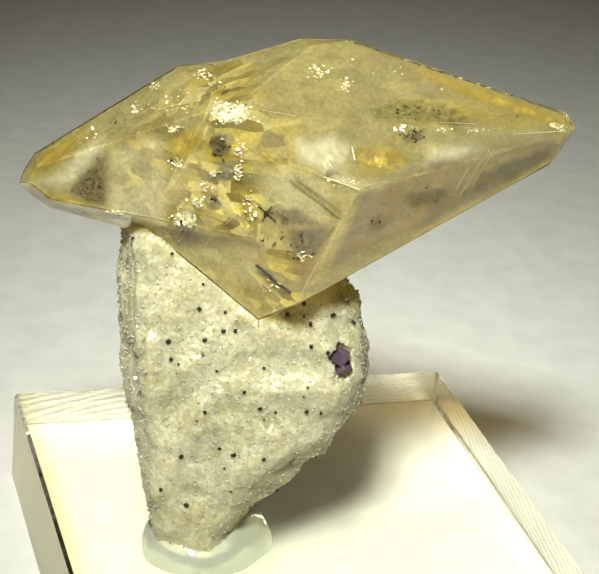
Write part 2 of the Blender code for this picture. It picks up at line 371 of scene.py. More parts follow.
def cloud_material(looks):
    """The clouds of fluid bubbles that fill the calcite: soft, uneven and partly see-through."""
    material, tree, shader, place = new_material("calcite_inner_clouds")
    names = ("gold", "milk", "thin_cloud_shade", "crushed")
    gold, milk, thin_cloud_shade, crushed = [ragged_zone(tree, place, name) for name in names]
    # Clouds a few millimetres wide, as the veils inside show through the faces.
    cloud = add_node(tree, "TexNoise", {"Vector": place, "Scale": 0.4, "Detail": 6.0, "Roughness": 0.65})
    stain = add_node(
        tree, "MapRange", {"Value": cloud, "From Min": 0.38, "From Max": 0.66, "To Max": 0.28}
    )
    body = looks.straw
    # The thin-cloud zones are painted grey as painted shade; there the clouds are also thinner and more
    # see-through.
    for share, colour in ((stain, looks.gold), (gold, looks.gold), (thin_cloud_shade, looks.thin_cloud_shade), (milk, looks.milk)):
        body = add_node(tree, "Mix", {**COLOURS, 0: share, 6: body, 7: colour})
    # Fine grain in the clouds, a third of a millimetre wide.
    grain = add_node(tree, "TexNoise", {"Vector": place, "Scale": 3.0, "Detail": 4.0, "Roughness": 0.7})
    span = {"From Min": 0.35, "From Max": 0.65, "To Min": 0.78, "To Max": 1.12}
    grain_tone = add_node(tree, "MapRange", {"Value": grain, **span})
    # Painted shade: clouds under the faces turned towards the main lamp are painted darker, down to less
    # than half their colour, and those turned away a little lighter.
    lamp_facing_shade = add_node(tree, "Attribute", {"attribute_name": "lamp_facing_shade"}).outputs["Fac"]
    lamp_shade_tone = add_node(tree, "MapRange", {"Value": lamp_facing_shade, "To Min": 1.05, "To Max": 0.42})
    # Cleavage breaks the inside into slanting planes a millimetre or two long, most of all in the
    # crushed parts, and each plane is brighter or darker than the next.
    broken = add_node(tree, "MapRange", {"Value": crushed, "To Min": 0.2})
    slant = {"Rotation": (0.3, 0.6, 0.5), "Scale": (0.5, 1.3, 1.5)}
    slanted = add_node(tree, "Mapping", {"Vector": place, **slant})
    planes = add_node(tree, "TexVoronoi", {"Vector": slanted, "Scale": 0.8})
    draws = add_node(tree, "SeparateColor", {"Color": planes.outputs["Color"]})
    plane_tone = add_node(tree, "MapRange", {"Value": draws, "To Min": -0.5, "To Max": 0.75})
    plane_share = add_node(
        tree, "Math", {"operation": "MULTIPLY_ADD", 0: plane_tone, 1: broken, 2: 1.0}
    )
    plane_gold = add_node(tree, "Math", {"operation": "MULTIPLY", 0: draws.outputs[1], 1: broken})
    body = add_node(tree, "Mix", {**COLOURS, 0: plane_gold, 6: body, 7: looks.gold})
    for tone in (grain_tone, lamp_shade_tone, plane_share):
        body = add_node(tree, "VectorMath", {"operation": "SCALE", 0: body, "Scale": tone})
    span = {"From Min": 0.3, "From Max": 0.6, "To Min": 0.72, "To Max": 0.97}
    thickness = add_node(tree, "MapRange", {"Value": cloud, **span})
    cover = add_node(tree, "Math", {"operation": "MULTIPLY_ADD", 0: thin_cloud_shade, 1: -0.42, 2: thickness})
    soft = {"Roughness": 0.5, "IOR": 1.2, "Subsurface Scale": 1.5 * MM, **GLOW}
    set_node(tree, shader, {"Base Color": body, "Alpha": cover, **soft})
    let_lamps_through(tree, shader, srgb("#A89C70"))
    return material


def ragged_zone(tree, place, name):
    """A zone of the crystal, its edge broken up finely as a stain's or a cloud's is."""
    zone = add_node(tree, "Attribute", {"attribute_name": name}).outputs["Fac"]
    fray = add_node(tree, "TexNoise", {"Vector": place, "Scale": 1.1, "Detail": 6.0, "Roughness": 0.7})
    bent = add_node(tree, "Math", {"operation": "MULTIPLY_ADD", 0: fray, 1: 0.9, 2: -0.45})
    # Where the zone is nil nothing shows; elsewhere the noise moves its edge.
    edge = add_node(tree, "Math", {"operation": "MULTIPLY_ADD", 0: bent, 1: zone, 2: zone})
    return add_node(tree, "MapRange", {"Value": edge, "From Min": 0.12, "From Max": 0.8})


def add_absorption(tree, colour, density):
    """Let a clear body take its colour from its depth."""
    volume = add_node(tree, "VolumeAbsorption", {"Color": colour, "Density": density})
    set_node(tree, tree.nodes["Material Output"], {"Volume": volume})


def let_lamps_through(tree, shader, tint):
    """Let the lamps shine through a clear body, which would else cast the shadow of a solid one."""
    shadow = add_node(tree, "LightPath", {}).outputs["Is Shadow Ray"]
    window = add_node(tree, "BsdfTransparent", {"Color": tint})
    mix = add_node(tree, "MixShader", {0: shadow, 1: shader, 2: window})
    set_node(tree, tree.nodes["Material Output"], {"Surface": mix})


def veil_material(name, light, dark, cover, grain):
    """A veil inside the crystal, thin enough to see through: a layer of fluid bubbles, rust or dust, or a
    grey sheet of painted shade under a clear part.
    """
    material, tree, shader, place = new_material(name)
    texture = {"Scale": grain, "Detail": 6.0, "Roughness": 0.75}
    patches = add_node(tree, "TexNoise", {"Vector": place, **texture})
    tone = add_node(tree, "MapRange", {"Value": patches, "From Min": 0.4, "From Max": 0.6})
    span = {"From Min": 0.36, "From Max": 0.62, "To Min": 0.15, "To Max": cover}
    thin = add_node(tree, "MapRange", {"Value": patches, **span})
    rim = add_node(tree, "Attribute", {"attribute_name": "rim"}).outputs["Fac"]
    alpha = add_node(tree, "Math", {"operation": "MULTIPLY", "use_clamp": True, 0: thin, 1: rim})
    colour = add_node(tree, "Mix", {**COLOURS, 0: tone, 6: srgb(dark), 7: srgb(light)})
    set_node(tree, shader, {"Base Color": colour, "Alpha": alpha, "Roughness": 0.35, "IOR": 1.45})
    return material


def plain_inclusion(name, colour, roughness, metallic):
    """A small solid inside the crystal, mottled at a tenth of a millimetre."""
    tones = (darker(colour, 0.6), colour)
    finish = {"Roughness": roughness, "Metallic": metallic}
    return mottled_material(name, {"Scale": 6.0, "Detail": 2.0}, tones, finish)


# Outlines in the photograph's pixels that a zone of colour and a veil share.
LOWER_LEFT_EDGE = ((31, 188), (70, 194), (98, 207), (60, 208), (42, 203))
WAIST_STAIN = ((163, 132), (190, 126), (212, 134), (206, 150), (186, 163), (168, 156))
MIDDLE_STAIN = ((353, 148), (372, 143), (400, 146), (412, 158), (398, 172), (366, 175), (354, 165))
SLANTING_STAIN = ((258, 148), (270, 150), (284, 176), (276, 178), (262, 164))
DARK_CORNER = ((66, 192), (96, 157), (104, 158), (108, 190), (104, 205), (92, 204))

# Zones of colour on the crystal: their corners, by the pixels of the photograph where they show,
# and how strongly the zone shows. They are found on the crystal and hold from every side.
GOLD_ZONES = (
    (((574, 128), (560, 113), (500, 86), (430, 62), (380, 48), (400, 66), (470, 98), (540, 122)), 0.8),
    (((572, 130), (540, 112), (470, 100), (400, 96), (450, 122), (545, 131)), 0.45),
    (
        ((32, 178), (34, 163), (50, 145), (75, 128), (90, 118), (98, 114), (90, 130), (72, 150), (58, 166)),
        0.8,
    ),
    (LOWER_LEFT_EDGE, 0.7),
    (WAIST_STAIN, 0.5),
    (MIDDLE_STAIN, 0.55),
    (SLANTING_STAIN, 0.7),
)
MILK_ZONES = (
    (((293, 136), (335, 132), (352, 142), (350, 170), (320, 178), (296, 160)), 0.25),
    (((108, 150), (162, 140), (168, 170), (166, 224), (130, 222), (108, 208)), 0.42),
    (((30, 182), (66, 196), (60, 168), (40, 176)), 0.4),
    (((322, 168), (345, 172), (360, 184), (388, 182), (386, 190), (350, 190), (326, 178)), 0.6),
    (((430, 146), (470, 142), (488, 146), (460, 160), (428, 164)), 0.45),
    (((262, 160), (330, 182), (334, 224), (300, 224), (266, 210)), 0.35),
    (((35, 182), (60, 168), (76, 152), (103, 138), (102, 152), (68, 190)), 0.6),
)
CRUSHED_ZONES = (
    (((200, 96), (250, 92), (262, 130), (258, 228), (236, 240), (205, 215), (165, 240), (205, 140)), 1.0),
    (((150, 112), (178, 72), (226, 62), (262, 60), (250, 95), (205, 105)), 0.7),
    (((262, 230), (300, 228), (304, 300), (262, 318), (240, 290)), 0.6),
    (((104, 110), (165, 100), (200, 150), (190, 170), (112, 190)), 0.35),
    (((362, 106), (400, 98), (446, 100), (474, 118), (455, 128), (410, 123)), 0.8),
    (((258, 118), (300, 120), (290, 170), (262, 160)), 0.6),
)
# Where the crystal is clearest its clouds are thinner and more see-through, and painted grey as painted
# shade and reflection of the dark behind and around it.
THIN_CLOUD_SHADE_ZONES = (
    (((361, 192), (460, 152), (560, 136), (548, 162), (480, 200), (340, 285), (330, 270), (355, 215)), 0.85),
    (((280, 226), (335, 222), (302, 298)), 0.7),
    (DARK_CORNER, 0.8),
)
# How far a zone goes on either side of its plane, and how wide its soft edge is.
ZONE_DEPTH = 3.0
ZONE_SOFTNESS = 1.2
# How far the clouds begin under the faces: this much, or this share of the crystal's thickness.
CLOUD_DEPTH = 0.24
CLOUD_SHARE = 0.3
CLOUD_LEAST = 0.04


def zone_shares(places, zones):
    """How far each place lies inside any of the zones, from 0 to 1."""
    shares = np.zeros(len(places))
    for pixels, strength in zones:
        corners = [seen_on(CRYSTAL_TREE, pixel)[0] for pixel in pixels]
        corners = np.array([corner for corner in corners if corner is not None])
        middle = corners.mean(axis=0)
        axes = np.linalg.svd(corners - middle)[2]
        outline = (corners - middle) @ axes[:2].T
        flat = (places - middle) @ axes[:2].T
        near = np.full(len(places), 1000.0)
        inside = np.zeros(len(places), dtype=bool)
        for start, end in zip(outline, np.roll(outline, -1, axis=0)):
            side = end - start
            along = np.clip((flat - start) @ side / (side @ side), 0.0, 1.0)
            near = np.minimum(near, np.linalg.norm(flat - start - along[:, None] * side, axis=1))
            crosses = (start[1] > flat[:, 1]) != (end[1] > flat[:, 1])
            reach = start[0] + (flat[:, 1] - start[1]) * side[0] / (side[1] or 1e-9)
            inside ^= crosses & (flat[:, 0] < reach)
        depth = np.where(inside, near, -near)
        close = np.abs((places - middle) @ axes[2]) < ZONE_DEPTH
        shares = np.maximum(shares, np.clip(depth / ZONE_SOFTNESS + 0.5, 0.0, 1.0) * strength * close)
    return shares


def seen_on(tree, pixel):
    """Where the camera sees a pixel on a solid: the point and the surface's direction there."""
    start = Vector(CAMERA_PLACE)
    place, normal, _, _ = tree.ray_cast(start, sight(pixel))
    return place, normal


def inner_sight(pixel):
    """Where the view through a pixel enters the crystal, and its direction inside."""
    place, normal = seen_on(CRYSTAL_TREE, pixel)
    if place is None:
        return None, None
    return place, refracted(sight(pixel), normal, 1.0 / CALCITE_IOR)


def seen_inside(pixel, depth):
    """The point at a depth inside the crystal that shows at a pixel."""
    place, view = inner_sight(pixel)
    return None if place is None else place + view * depth


REFINE_ROUNDS = 6


def refine(bm, longest):
    """Halve long edges a few times over, keeping the shape."""
    bmesh.ops.triangulate(bm, faces=bm.faces)
    for _ in range(REFINE_ROUNDS):
        long_edges = [edge for edge in bm.edges if edge.calc_length() > longest]
        if not long_edges:
            return
        bmesh.ops.subdivide_edges(bm, edges=long_edges, cuts=1)
        bmesh.ops.triangulate(bm, faces=bm.faces)


def plain_solid(node):
    """A CAD node's solid without the edges inside its flat faces."""
    bm = solid_of(node)
    bmesh.ops.dissolve_limit(
        bm, angle_limit=math.radians(FLAT_ANGLE), verts=bm.verts, edges=bm.edges
    )
    return bm


def worn_solid(node, width, segments, longest):
    """A CAD node's solid with worn edges, its faces divided to be shaped further."""
    bm = plain_solid(node)
    bmesh.ops.bevel(
        bm, geom=bm.edges[:], offset=width, segments=segments, affect="EDGES", profile=0.5,
        clamp_overlap=True,
    )
    refine(bm, longest)
    bm.normal_update()
    return bm


def ripple_faces(bm, height):
    """Raise soft growth ripples on the flat faces, fading towards their edges."""
    bent = []
    flat = []
    for vertex in bm.verts:
        straight = all(face.normal.dot(vertex.normal) > 0.9995 for face in vertex.link_faces)
        (flat if straight else bent).append(vertex)
    tree = KDTree(len(bent))
    for index, vertex in enumerate(bent):
        tree.insert(vertex.co, index)
    tree.balance()
    moves = []
    for vertex in flat:
        fade = smooth_step(tree.find(vertex.co)[2] / 1.5)
        wave = noise.noise(vertex.co / 2.2) + 0.5 * noise.noise(vertex.co / 0.9)
        moves.append(vertex.normal * (wave * height * fade - height * fade))
    for vertex, move in zip(flat, moves):
        vertex.co += move


# Veils inside the crystal: the kind, the outline where each shows, in the photograph's pixels, and
# its depth under the face.
MILK, RUST, DUST, CLEAR_SHADE, HAZE, CLOUD = range(6)
VEILS = (
    (
        MILK,
        ((203, 104), (222, 98), (240, 101), (254, 108), (253, 121), (236, 126), (222, 124), (204, 117)),
        0.25,
    ),
    (MILK, ((170, 212), (186, 207), (198, 215), (198, 232), (187, 241), (173, 230)), 0.25),
    (CLOUD, ((286, 134), (335, 128), (356, 142), (354, 170), (322, 182), (292, 164)), 0.4),
    (CLOUD, ((322, 166), (345, 170), (360, 182), (392, 180), (390, 192), (350, 192), (324, 180)), 0.3),
    (CLOUD, ((424, 146), (470, 140), (490, 144), (462, 162), (424, 166)), 0.3),
    (CLOUD, ((35, 182), (60, 168), (76, 152), (103, 138), (104, 150), (86, 170), (62, 191)), 0.3),
    (RUST, ((32, 178), (34, 163), (50, 145), (75, 129), (98, 114), (90, 130), (72, 150), (58, 166)), 0.25),
    (RUST, LOWER_LEFT_EDGE, 0.25),
    (RUST, ((112, 163), (123, 162), (123, 178), (118, 184), (111, 176)), 0.25),
    (RUST, SLANTING_STAIN, 0.3),
    (RUST, MIDDLE_STAIN, 0.4),
    (RUST, ((365, 194), (392, 187), (400, 196), (392, 201), (366, 200)), 0.25),
    (RUST, WAIST_STAIN, 0.35),
    (RUST, ((236, 190), (256, 184), (252, 226), (240, 234)), 0.25),
    (RUST, ((231, 124), (244, 126), (243, 142), (233, 140)), 0.25),
    (RUST, ((205, 82), (228, 84), (232, 97), (212, 96)), 0.3),
    (RUST, ((150, 108), (202, 98), (204, 106), (156, 114)), 0.35),
    (DUST, ((207, 133), (230, 131), (232, 156), (208, 158)), 0.3),
    (DUST, DARK_CORNER, 0.3),
    (HAZE, ((368, 106), (400, 98), (446, 100), (474, 118), (455, 128), (410, 123), (370, 121)), 0.35),
    (DUST, ((398, 127), (426, 128), (425, 142), (400, 142)), 0.3),
    (HAZE, ((396, 190), (446, 184), (455, 200), (410, 212)), 0.3),
    (HAZE, ((264, 204), (284, 210), (294, 224), (284, 228), (262, 216)), 0.3),
    # Grey sheets of painted shade and reflection, for the dark that shows in the clear parts.
    (CLEAR_SHADE, ((216, 160), (234, 162), (236, 178), (224, 192), (214, 178)), 0.3),
    (CLEAR_SHADE, ((282, 228), (334, 226), (318, 258), (300, 262), (288, 246)), 0.3),
    (CLEAR_SHADE, ((288, 170), (300, 174), (338, 214), (334, 222), (296, 186)), 0.35),
    (CLEAR_SHADE, ((262, 198), (300, 206), (330, 226), (284, 228)), 0.4),
    (CLEAR_SHADE, ((566, 138), (520, 152), (478, 172), (462, 204), (520, 180), (552, 162)), 0.3),
    (
        RUST,
        ((570, 128), (556, 114), (500, 90), (430, 66), (396, 56), (420, 78), (480, 104), (545, 126)),
        0.25,
    ),
    (RUST, ((256, 66), (240, 74), (206, 98), (228, 96), (256, 80)), 0.3),
)
# Each kind's material, light and dark tone, cover, patches to a millimetre, and over how many
# steps it thins out towards its rim.
VEIL_KINDS = (
    ("calcite_fluid_veil", "#E6E2CF", "#B5AD8A", 0.7, 2.2, 2),
    ("calcite_rust_stain", "#B5A04E", "#866F33", 0.62, 0.9, 3),
    ("calcite_mineral_dust", "#7C7152", "#453E2B", 0.72, 2.6, 1),
    # The grey of the clear parts' sheets is painted shade and reflection.
    ("calcite_clear_painted_shade", "#8A8578", "#625D50", 0.6, 0.8, 2),
    ("calcite_dusty_haze", "#8F8656", "#4E4728", 0.6, 2.4, 2),
    ("calcite_milky_cloud", "#CFCDBC", "#B4B19B", 0.34, 0.6, 5),
)
VEIL_STEP = 0.26
ROW_STEP = 0.87
VEIL_RELIEF = 0.04
VEIL_THICKNESS = 0.03

# Bright flakes: the middle of each group in pixels, how far it spreads across and down, and how
# many there are. Then the dark crystals in the same way, and long inclusions by their two ends.
FLAKES = (
    (229, 111, 23, 10, 190), (184, 224, 11, 14, 110), (320, 73, 9, 7, 34), (345, 85, 6, 6, 30),
    (214, 174, 6, 4, 26), (197, 204, 9, 6, 44), (208, 187, 8, 7, 36), (174, 129, 7, 5, 26),
    (175, 164, 9, 5, 30), (202, 73, 9, 6, 30), (152, 84, 8, 5, 22), (134, 109, 5, 4, 16),
    (114, 214, 12, 4, 44), (52, 207, 3, 3, 12), (240, 150, 5, 8, 30), (238, 172, 5, 9, 30),
    (302, 256, 9, 6, 24), (272, 286, 9, 8, 20), (556, 126, 11, 4, 30), (402, 128, 10, 3, 12),
    (345, 183, 14, 4, 16), (248, 210, 8, 20, 34), (165, 105, 30, 14, 30), (430, 75, 60, 14, 12),
    (70, 212, 22, 3, 22), (455, 130, 50, 3, 18), (80, 135, 20, 12, 14), (220, 86, 10, 6, 12),
)
DARK_CRYSTALS = (
    (212, 199, 6, 5, 12), (178, 161, 6, 3, 8), (412, 134, 13, 7, 20), (375, 220, 7, 7, 14),
    (422, 195, 20, 8, 16), (90, 185, 12, 16, 26), (112, 120, 14, 8, 8), (219, 145, 10, 12, 22),
    (268, 214, 6, 4, 16), (420, 112, 40, 8, 18), (304, 250, 14, 10, 12), (270, 240, 30, 12, 14),
    (515, 118, 3, 3, 2), (182, 222, 8, 10, 8), (230, 112, 18, 8, 8),
)
DARK_BLADES = (
    ((256, 265), (272, 277), 0.32), ((270, 277), (291, 293), 0.3), ((262, 285), (280, 300), 0.1),
    ((258, 206), (276, 222), 0.12), ((262, 222), (272, 206), 0.1), ((302, 244), (302, 232), 0.08),
)
OLIVE_BLADES = (
    ((290, 180), (338, 216), 0.12), ((296, 178), (342, 212), 0.08), ((283, 57), (249, 80), 0.1),
    ((237, 60), (216, 79), 0.08), ((196, 140), (206, 122), 0.1), ((324, 240), (334, 226), 0.08),
    ((330, 160), (342, 178), 0.07), ((372, 119), (420, 124), 0.07), ((244, 196), (262, 206), 0.08),
    ((152, 113), (176, 106), 0.1), ((176, 106), (204, 101), 0.1), ((258, 60), (240, 72), 0.1),
    ((398, 100), (428, 116), 0.08), ((420, 98), (452, 118), 0.08), ((382, 108), (406, 118), 0.07),
)
PALE_BLADES = (
    ((231, 219), (204, 246), 0.07), ((236, 214), (212, 238), 0.05), ((324, 177), (360, 190), 0.07),
    ((460, 196), (482, 160), 0.05), ((466, 190), (489, 150), 0.05), ((472, 186), (492, 152), 0.04),
    ((456, 190), (470, 166), 0.04), ((262, 110), (296, 116), 0.03), ((352, 147), (355, 160), 0.05),
    ((514, 134), (566, 131), 0.06), ((436, 122), (476, 124), 0.04), ((176, 70), (150, 90), 0.04),
    ((300, 296), (318, 262), 0.05), ((404, 206), (414, 216), 0.04), ((268, 200), (272, 190), 0.06),
)
BLADE_DEPTH = 0.1
BLADE_FLATNESS = 0.4
FLAKE_TILT = 0.3
FLAKE_THICKNESS = 0.03


def inside_outline(point, outline):
    """True if a pixel lies inside an outline."""
    inside = False
    for index, end in enumerate(outline):
        start = outline[index - 1]
        if (start[1] > point[1]) != (end[1] > point[1]):
            cross = start[0] + (point[1] - start[1]) * (end[0] - start[0]) / (end[1] - start[1])
            if point[0] < cross:
                inside = not inside
    return inside


def add_veil(bm, outline, depth, draw, material_index):
    """Add a thin, crumpled sheet under the part of the crystal that an outline shows."""
    step = VEIL_STEP * PIXELS_PER_MM
    rim_layer = bm.verts.layers.float["rim"]
    left = min(point[0] for point in outline)
    top = min(point[1] for point in outline)
    columns = int((max(point[0] for point in outline) - left) / step) + 2
    rows = int((max(point[1] for point in outline) - top) / (step * ROW_STEP)) + 2
    grid = {}
    for row in range(rows):
        for column in range(columns):
            across = left + (column + 0.5 * (row % 2)) * step + draw.uniform(-0.3, 0.3) * step
            down = top + row * step * ROW_STEP + draw.uniform(-0.3, 0.3) * step
            place = seen_inside((across, down), 0.35 * depth + draw.uniform(-VEIL_RELIEF, VEIL_RELIEF))
            if place is not None and inside_outline((across, down), outline):
                grid[(row, column)] = place
    triangles = []
    for row, column in grid:
        shift = row % 2
        here = (row, column)
        down_left = (row + 1, column - 1 + shift)
        down_right = (row + 1, column + shift)
        for corners in ((here, (row, column + 1), down_right), (here, down_right, down_left)):
            if all(corner in grid for corner in corners):
                triangles.append(corners)
    if not triangles:
        return
    uses = {}
    for corners in triangles:
        for index, corner in enumerate(corners):
            edge = frozenset((corner, corners[index - 1]))
            uses[edge] = uses.get(edge, 0) + 1
    rim = {corner for edge, count in uses.items() if count == 1 for corner in edge}
    # How many steps in from the rim each corner lies: the veil thins out towards its rim.
    steps = {corner: 0 for corner in rim}
    fade = VEIL_KINDS[material_index][-1]
    for ring in range(1, fade + 1):
        reached = {corner for edge in uses if edge & steps.keys() for corner in edge}
        steps.update({corner: ring for corner in reached - steps.keys()})
    view = sight((left, top))
    front = {}
    back = {}
    for corners in triangles:
        for corner in corners:
            if corner not in front:
                place = grid[corner]
                front[corner] = bm.verts.new(place)
                inner = corner not in rim
                back[corner] = bm.verts.new(place + view * VEIL_THICKNESS) if inner else front[corner]
                for vertex in (front[corner], back[corner]):
                    vertex[rim_layer] = steps.get(corner, fade) / fade
    for corners in triangles:
        one = [front[corner] for corner in corners]
        two = [back[corner] for corner in corners]
        if one == two:
            continue
        for loop in (one, two[::-1]):
            face = bm.faces.new(loop)
            face.material_index = material_index
            face.smooth = False


def build_crystal(looks):
    """The calcite twin's faces, with worn edges and growth ripples."""
    bm = worn_solid("calcite_crystal", width=looks.edge_width / MM, segments=2, longest=0.7)
    ripple_faces(bm, looks.ripple / MM)
    mesh = finish_mesh(bm, "calcite_twin", sharp=12.0)
    add_piece(mesh, (calcite_material(looks),), "calcite_crystal")


def build_clouds(looks):
    """The clouds inside the crystal, which begin just under its faces."""
    bm = even_skin("calcite_crystal", voxel=0.2)
    # Painted shade: how far each face turns towards the main lamp, which darkens the clouds' colour there.
    lamp_facing_shade_layer = bm.verts.layers.float.new("lamp_facing_shade")
    to_lamp = Vector(KEY_DIRECTION).normalized()
    moves = []
    for vertex in bm.verts:
        vertex[lamp_facing_shade_layer] = smooth_step((vertex.normal.dot(to_lamp) - 0.25) / 0.5)
        inward = -vertex.normal
        # The ray starts a little inside, past the skin's own corners.
        start = 0.3
        reach = CRYSTAL_TREE.ray_cast(vertex.co + inward * start, inward)[3] or 0.0
        # The even skin already cuts the corners, so there the clouds are moved in less.
        cut = CRYSTAL_TREE.find_nearest(vertex.co)[3]
        depth = max(CLOUD_LEAST, min(CLOUD_DEPTH, CLOUD_SHARE * (reach + start)) - 2.0 * cut)
        moves.append(inward * depth * (1.0 + 0.3 * noise.noise(vertex.co / 1.4)))
    for vertex, move in zip(bm.verts, moves):
        vertex.co += move
    places = np.array([vertex.co for vertex in bm.verts])
    kinds = {"gold": GOLD_ZONES, "milk": MILK_ZONES, "thin_cloud_shade": THIN_CLOUD_SHADE_ZONES, "crushed": CRUSHED_ZONES}
    for name, zones in kinds.items():
        layer = bm.verts.layers.float.new(name)
        for vertex, share in zip(bm.verts, zone_shares(places, zones)):
            vertex[layer] = share
            # The painted shade is weaker in the milky zones.
            if name == "milk":
                vertex[lamp_facing_shade_layer] *= 1.0 - 0.65 * share
    add_piece(finish_mesh(bm, "inner_clouds", sharp=20.0), (cloud_material(looks),))


def build_veils():
    """The veils inside the crystal."""
    bm = bmesh.new()
    bm.verts.layers.float.new("rim")
    draw = random.Random(5)
    for kind, outline, depth in VEILS:
        add_veil(bm, outline, depth, draw, kind)
    materials = [veil_material(*kind[:-1]) for kind in VEIL_KINDS]
    add_piece(finish_mesh(bm, "inner_veils"), materials)


def inner_spots(groups, draw):
    """Places inside the crystal and the views to them, from groups of spots in the photograph."""
    for across, down, wide, tall, count in groups:
        for _ in range(count):
            pixel = (draw.gauss(across, wide * 0.5), draw.gauss(down, tall * 0.5))
            place, view = inner_sight(pixel)
            if place is not None:
                yield place + view * draw.uniform(0.06, 0.16), view


def blade(start, end, width):
    """A long flat inclusion just under a face, between two pixels: its middle, size and turn."""
    first = seen_inside(start, BLADE_DEPTH)
    last = seen_inside(end, BLADE_DEPTH)
    along = (last - first).normalized()
    across = sight(start).cross(along).normalized()
    turn = Matrix((along, across, along.cross(across))).transposed()
    return (first + last) / 2.0, ((last - first).length, width, width * BLADE_FLATNESS), turn


def build_flakes():
    """Air-filled cleavage flakes, which lie so that many of them mirror the main lamp."""
    draw = random.Random(41)
    lamp = Vector(LOOK_AT) + Vector(KEY_DIRECTION) * KEY_DISTANCE
    flakes = []
    for place, view in inner_spots(FLAKES, draw):
        tilt = Vector([draw.gauss(0.0, FLAKE_TILT) for _ in range(3)])
        facing = ((lamp - place).normalized() - view).normalized() + tilt
        size = draw.uniform(0.07, 0.24)
        sizes = (size, size * draw.uniform(0.5, 1.0), FLAKE_THICKNESS)
        flakes.append((place, sizes, facing.to_track_quat("Z", "Y").to_matrix()))
    flakes.extend(blade(*ends) for ends in PALE_BLADES)
    material = plain_inclusion("calcite_air_flake", srgb("#D8D3B8"), 0.34, 0.35)
    add_piece(block_crystals("cleavage_flakes", flakes), (material,))


def build_inclusions(looks):
    """Dark crystals and blades inside the calcite."""
    draw = random.Random(43)
    inclusions = []
    for place, _ in inner_spots(DARK_CRYSTALS, draw):
        size = draw.uniform(0.07, 0.2)
        turn = any_turn(draw)
        inclusions.append((place, (size, size * 0.7, size * draw.uniform(0.3, 1.0)), turn))
    inclusions.extend(blade(*ends) for ends in DARK_BLADES)
    material = plain_inclusion("inclusion_dark_sulphide", looks.inclusion, 0.4, 0.2)
    add_piece(block_crystals("dark_inclusions", inclusions), (material,))
    cracks = [blade(*ends) for ends in OLIVE_BLADES]
    material = plain_inclusion("inclusion_healed_crack", srgb("#857B50"), 0.4, 0.0)
    add_piece(block_crystals("healed_cracks", cracks), (material,))


# The stone


def druse_height(place, size):
    """Height of the druse at a point: small blocky crystals, each turned its own way."""
    _, points = noise.voronoi(place / size)
    best = -1.0
    for centre in points[:2]:
        draw = noise.cell_vector(centre * 7.31)
        axes = Euler(draw * 6.0).to_matrix()
        reach = axes @ (place / size - centre)
        best = max(best, 0.55 - max(abs(reach.x), abs(reach.y), abs(reach.z)))
    return best * size


def stone_material(looks):
    """A crust of calcite druse: pale, sugary, with light going a little way in."""
    material, tree, shader, place = new_material("stone_calcite_druse")
    patches = add_node(tree, "TexNoise", {"Vector": place, "Scale": 0.22, "Detail": 4.0})
    patch_share = add_node(tree, "MapRange", {"Value": patches, "From Min": 0.35, "From Max": 0.65})
    base = add_node(tree, "Mix", {**COLOURS, 0: patch_share, 6: looks.cream, 7: looks.olive})
    # Grains a quarter of a millimetre wide, half of them brighter than the crust.
    grains = add_node(tree, "TexVoronoi", {"Vector": place, "Scale": 4.2})
    draws = add_node(tree, "SeparateColor", {"Color": grains.outputs["Color"]})
    bright = add_node(tree, "MapRange", {"Value": draws, "From Min": 0.45, "To Max": 0.85})
    grained = add_node(tree, "Mix", {**COLOURS, 0: bright, 6: base, 7: looks.pale})
    fine = add_node(tree, "TexNoise", {"Vector": place, "Scale": 6.0, "Detail": 3.0})
    span = {"From Min": 0.35, "From Max": 0.7, "To Min": 0.25, "To Max": 0.6}
    gloss = add_node(tree, "MapRange", {"Value": fine, **span})
    bump = add_node(tree, "Bump", {"Height": fine, "Strength": 0.4, "Distance": 0.06 * MM})
    set_node(tree, shader, {"Base Color": grained, "Roughness": gloss, "Normal": bump})
    set_node(tree, shader, {"IOR": 1.6, "Subsurface Scale": 1.8 * MM, **GLOW})
    return material


def even_skin(node, voxel):
    """An even skin of small faces on a CAD node's solid, as a bmesh."""
    bm = solid_of(node)
    mesh = bpy.data.meshes.new("solid")
    bm.to_mesh(mesh)
    body = add_object("solid", mesh)
    modifier = body.modifiers.new("Even skin", "REMESH")
    modifier.mode = "VOXEL"
    modifier.voxel_size = voxel
    graph = bpy.context.evaluated_depsgraph_get()
    skin = bpy.data.meshes.new_from_object(body.evaluated_get(graph))
    bm.clear()
    bm.from_mesh(skin)
    bm.normal_update()
    bpy.data.objects.remove(body)
    for used in (mesh, skin):
        bpy.data.meshes.remove(used)
    return bm


def stone_skin(looks):
    """The stone's surface, drawn up to the crystal and covered with druse."""
    bm = even_skin("stone_matrix", voxel=0.165)
    grain = looks.grain / MM
    to_specimen = specimen_matrix().inverted()
    moves = []
    for vertex in bm.verts:
        near, _, _, distance = CRYSTAL_TREE.find_nearest(vertex.co)
        if distance < CONTACT:
            moves.append((near - vertex.co) * 1.08)
            continue
        fade = smooth_step((distance - CONTACT) / DRUSE_FADE)
        height = druse_height(vertex.co, grain)
        upright = to_specimen @ vertex.co
        front = smooth_step((upright.x + 5.6) / 1.2)
        height *= lerp(0.12, 0.32, front)
        height += 0.04 * noise.noise(vertex.co / 1.7)
        # Fine upright ribs, clearest on the smooth side at the left.
        ribs = noise.noise(Vector((upright.x * 1.7, upright.y * 1.7, upright.z * 0.12)))
        height += lerp(0.2, 0.06, front) * ribs
        moves.append(vertex.normal * height * fade)
    for vertex, move in zip(bm.verts, moves):
        vertex.co += move
    bmesh.ops.triangulate(bm, faces=bm.faces)
    return bm


def build_stone(looks):
    """The stone matrix."""
    mesh = finish_mesh(stone_skin(looks), "druzy_stone", sharp=25.0)
    add_piece(mesh, (stone_material(looks),), "stone_matrix")


def grain_material(looks):
    """Single druse crystals: glassy, pale and half clear, so they glint."""
    finish = {"Roughness": 0.12, "IOR": 1.6, "Transmission Weight": 0.35}
    tones = (looks.cream, looks.pale)
    return mottled_material("stone_druse_crystals", {"Scale": 1.4, "Detail": 2.0}, tones, finish)


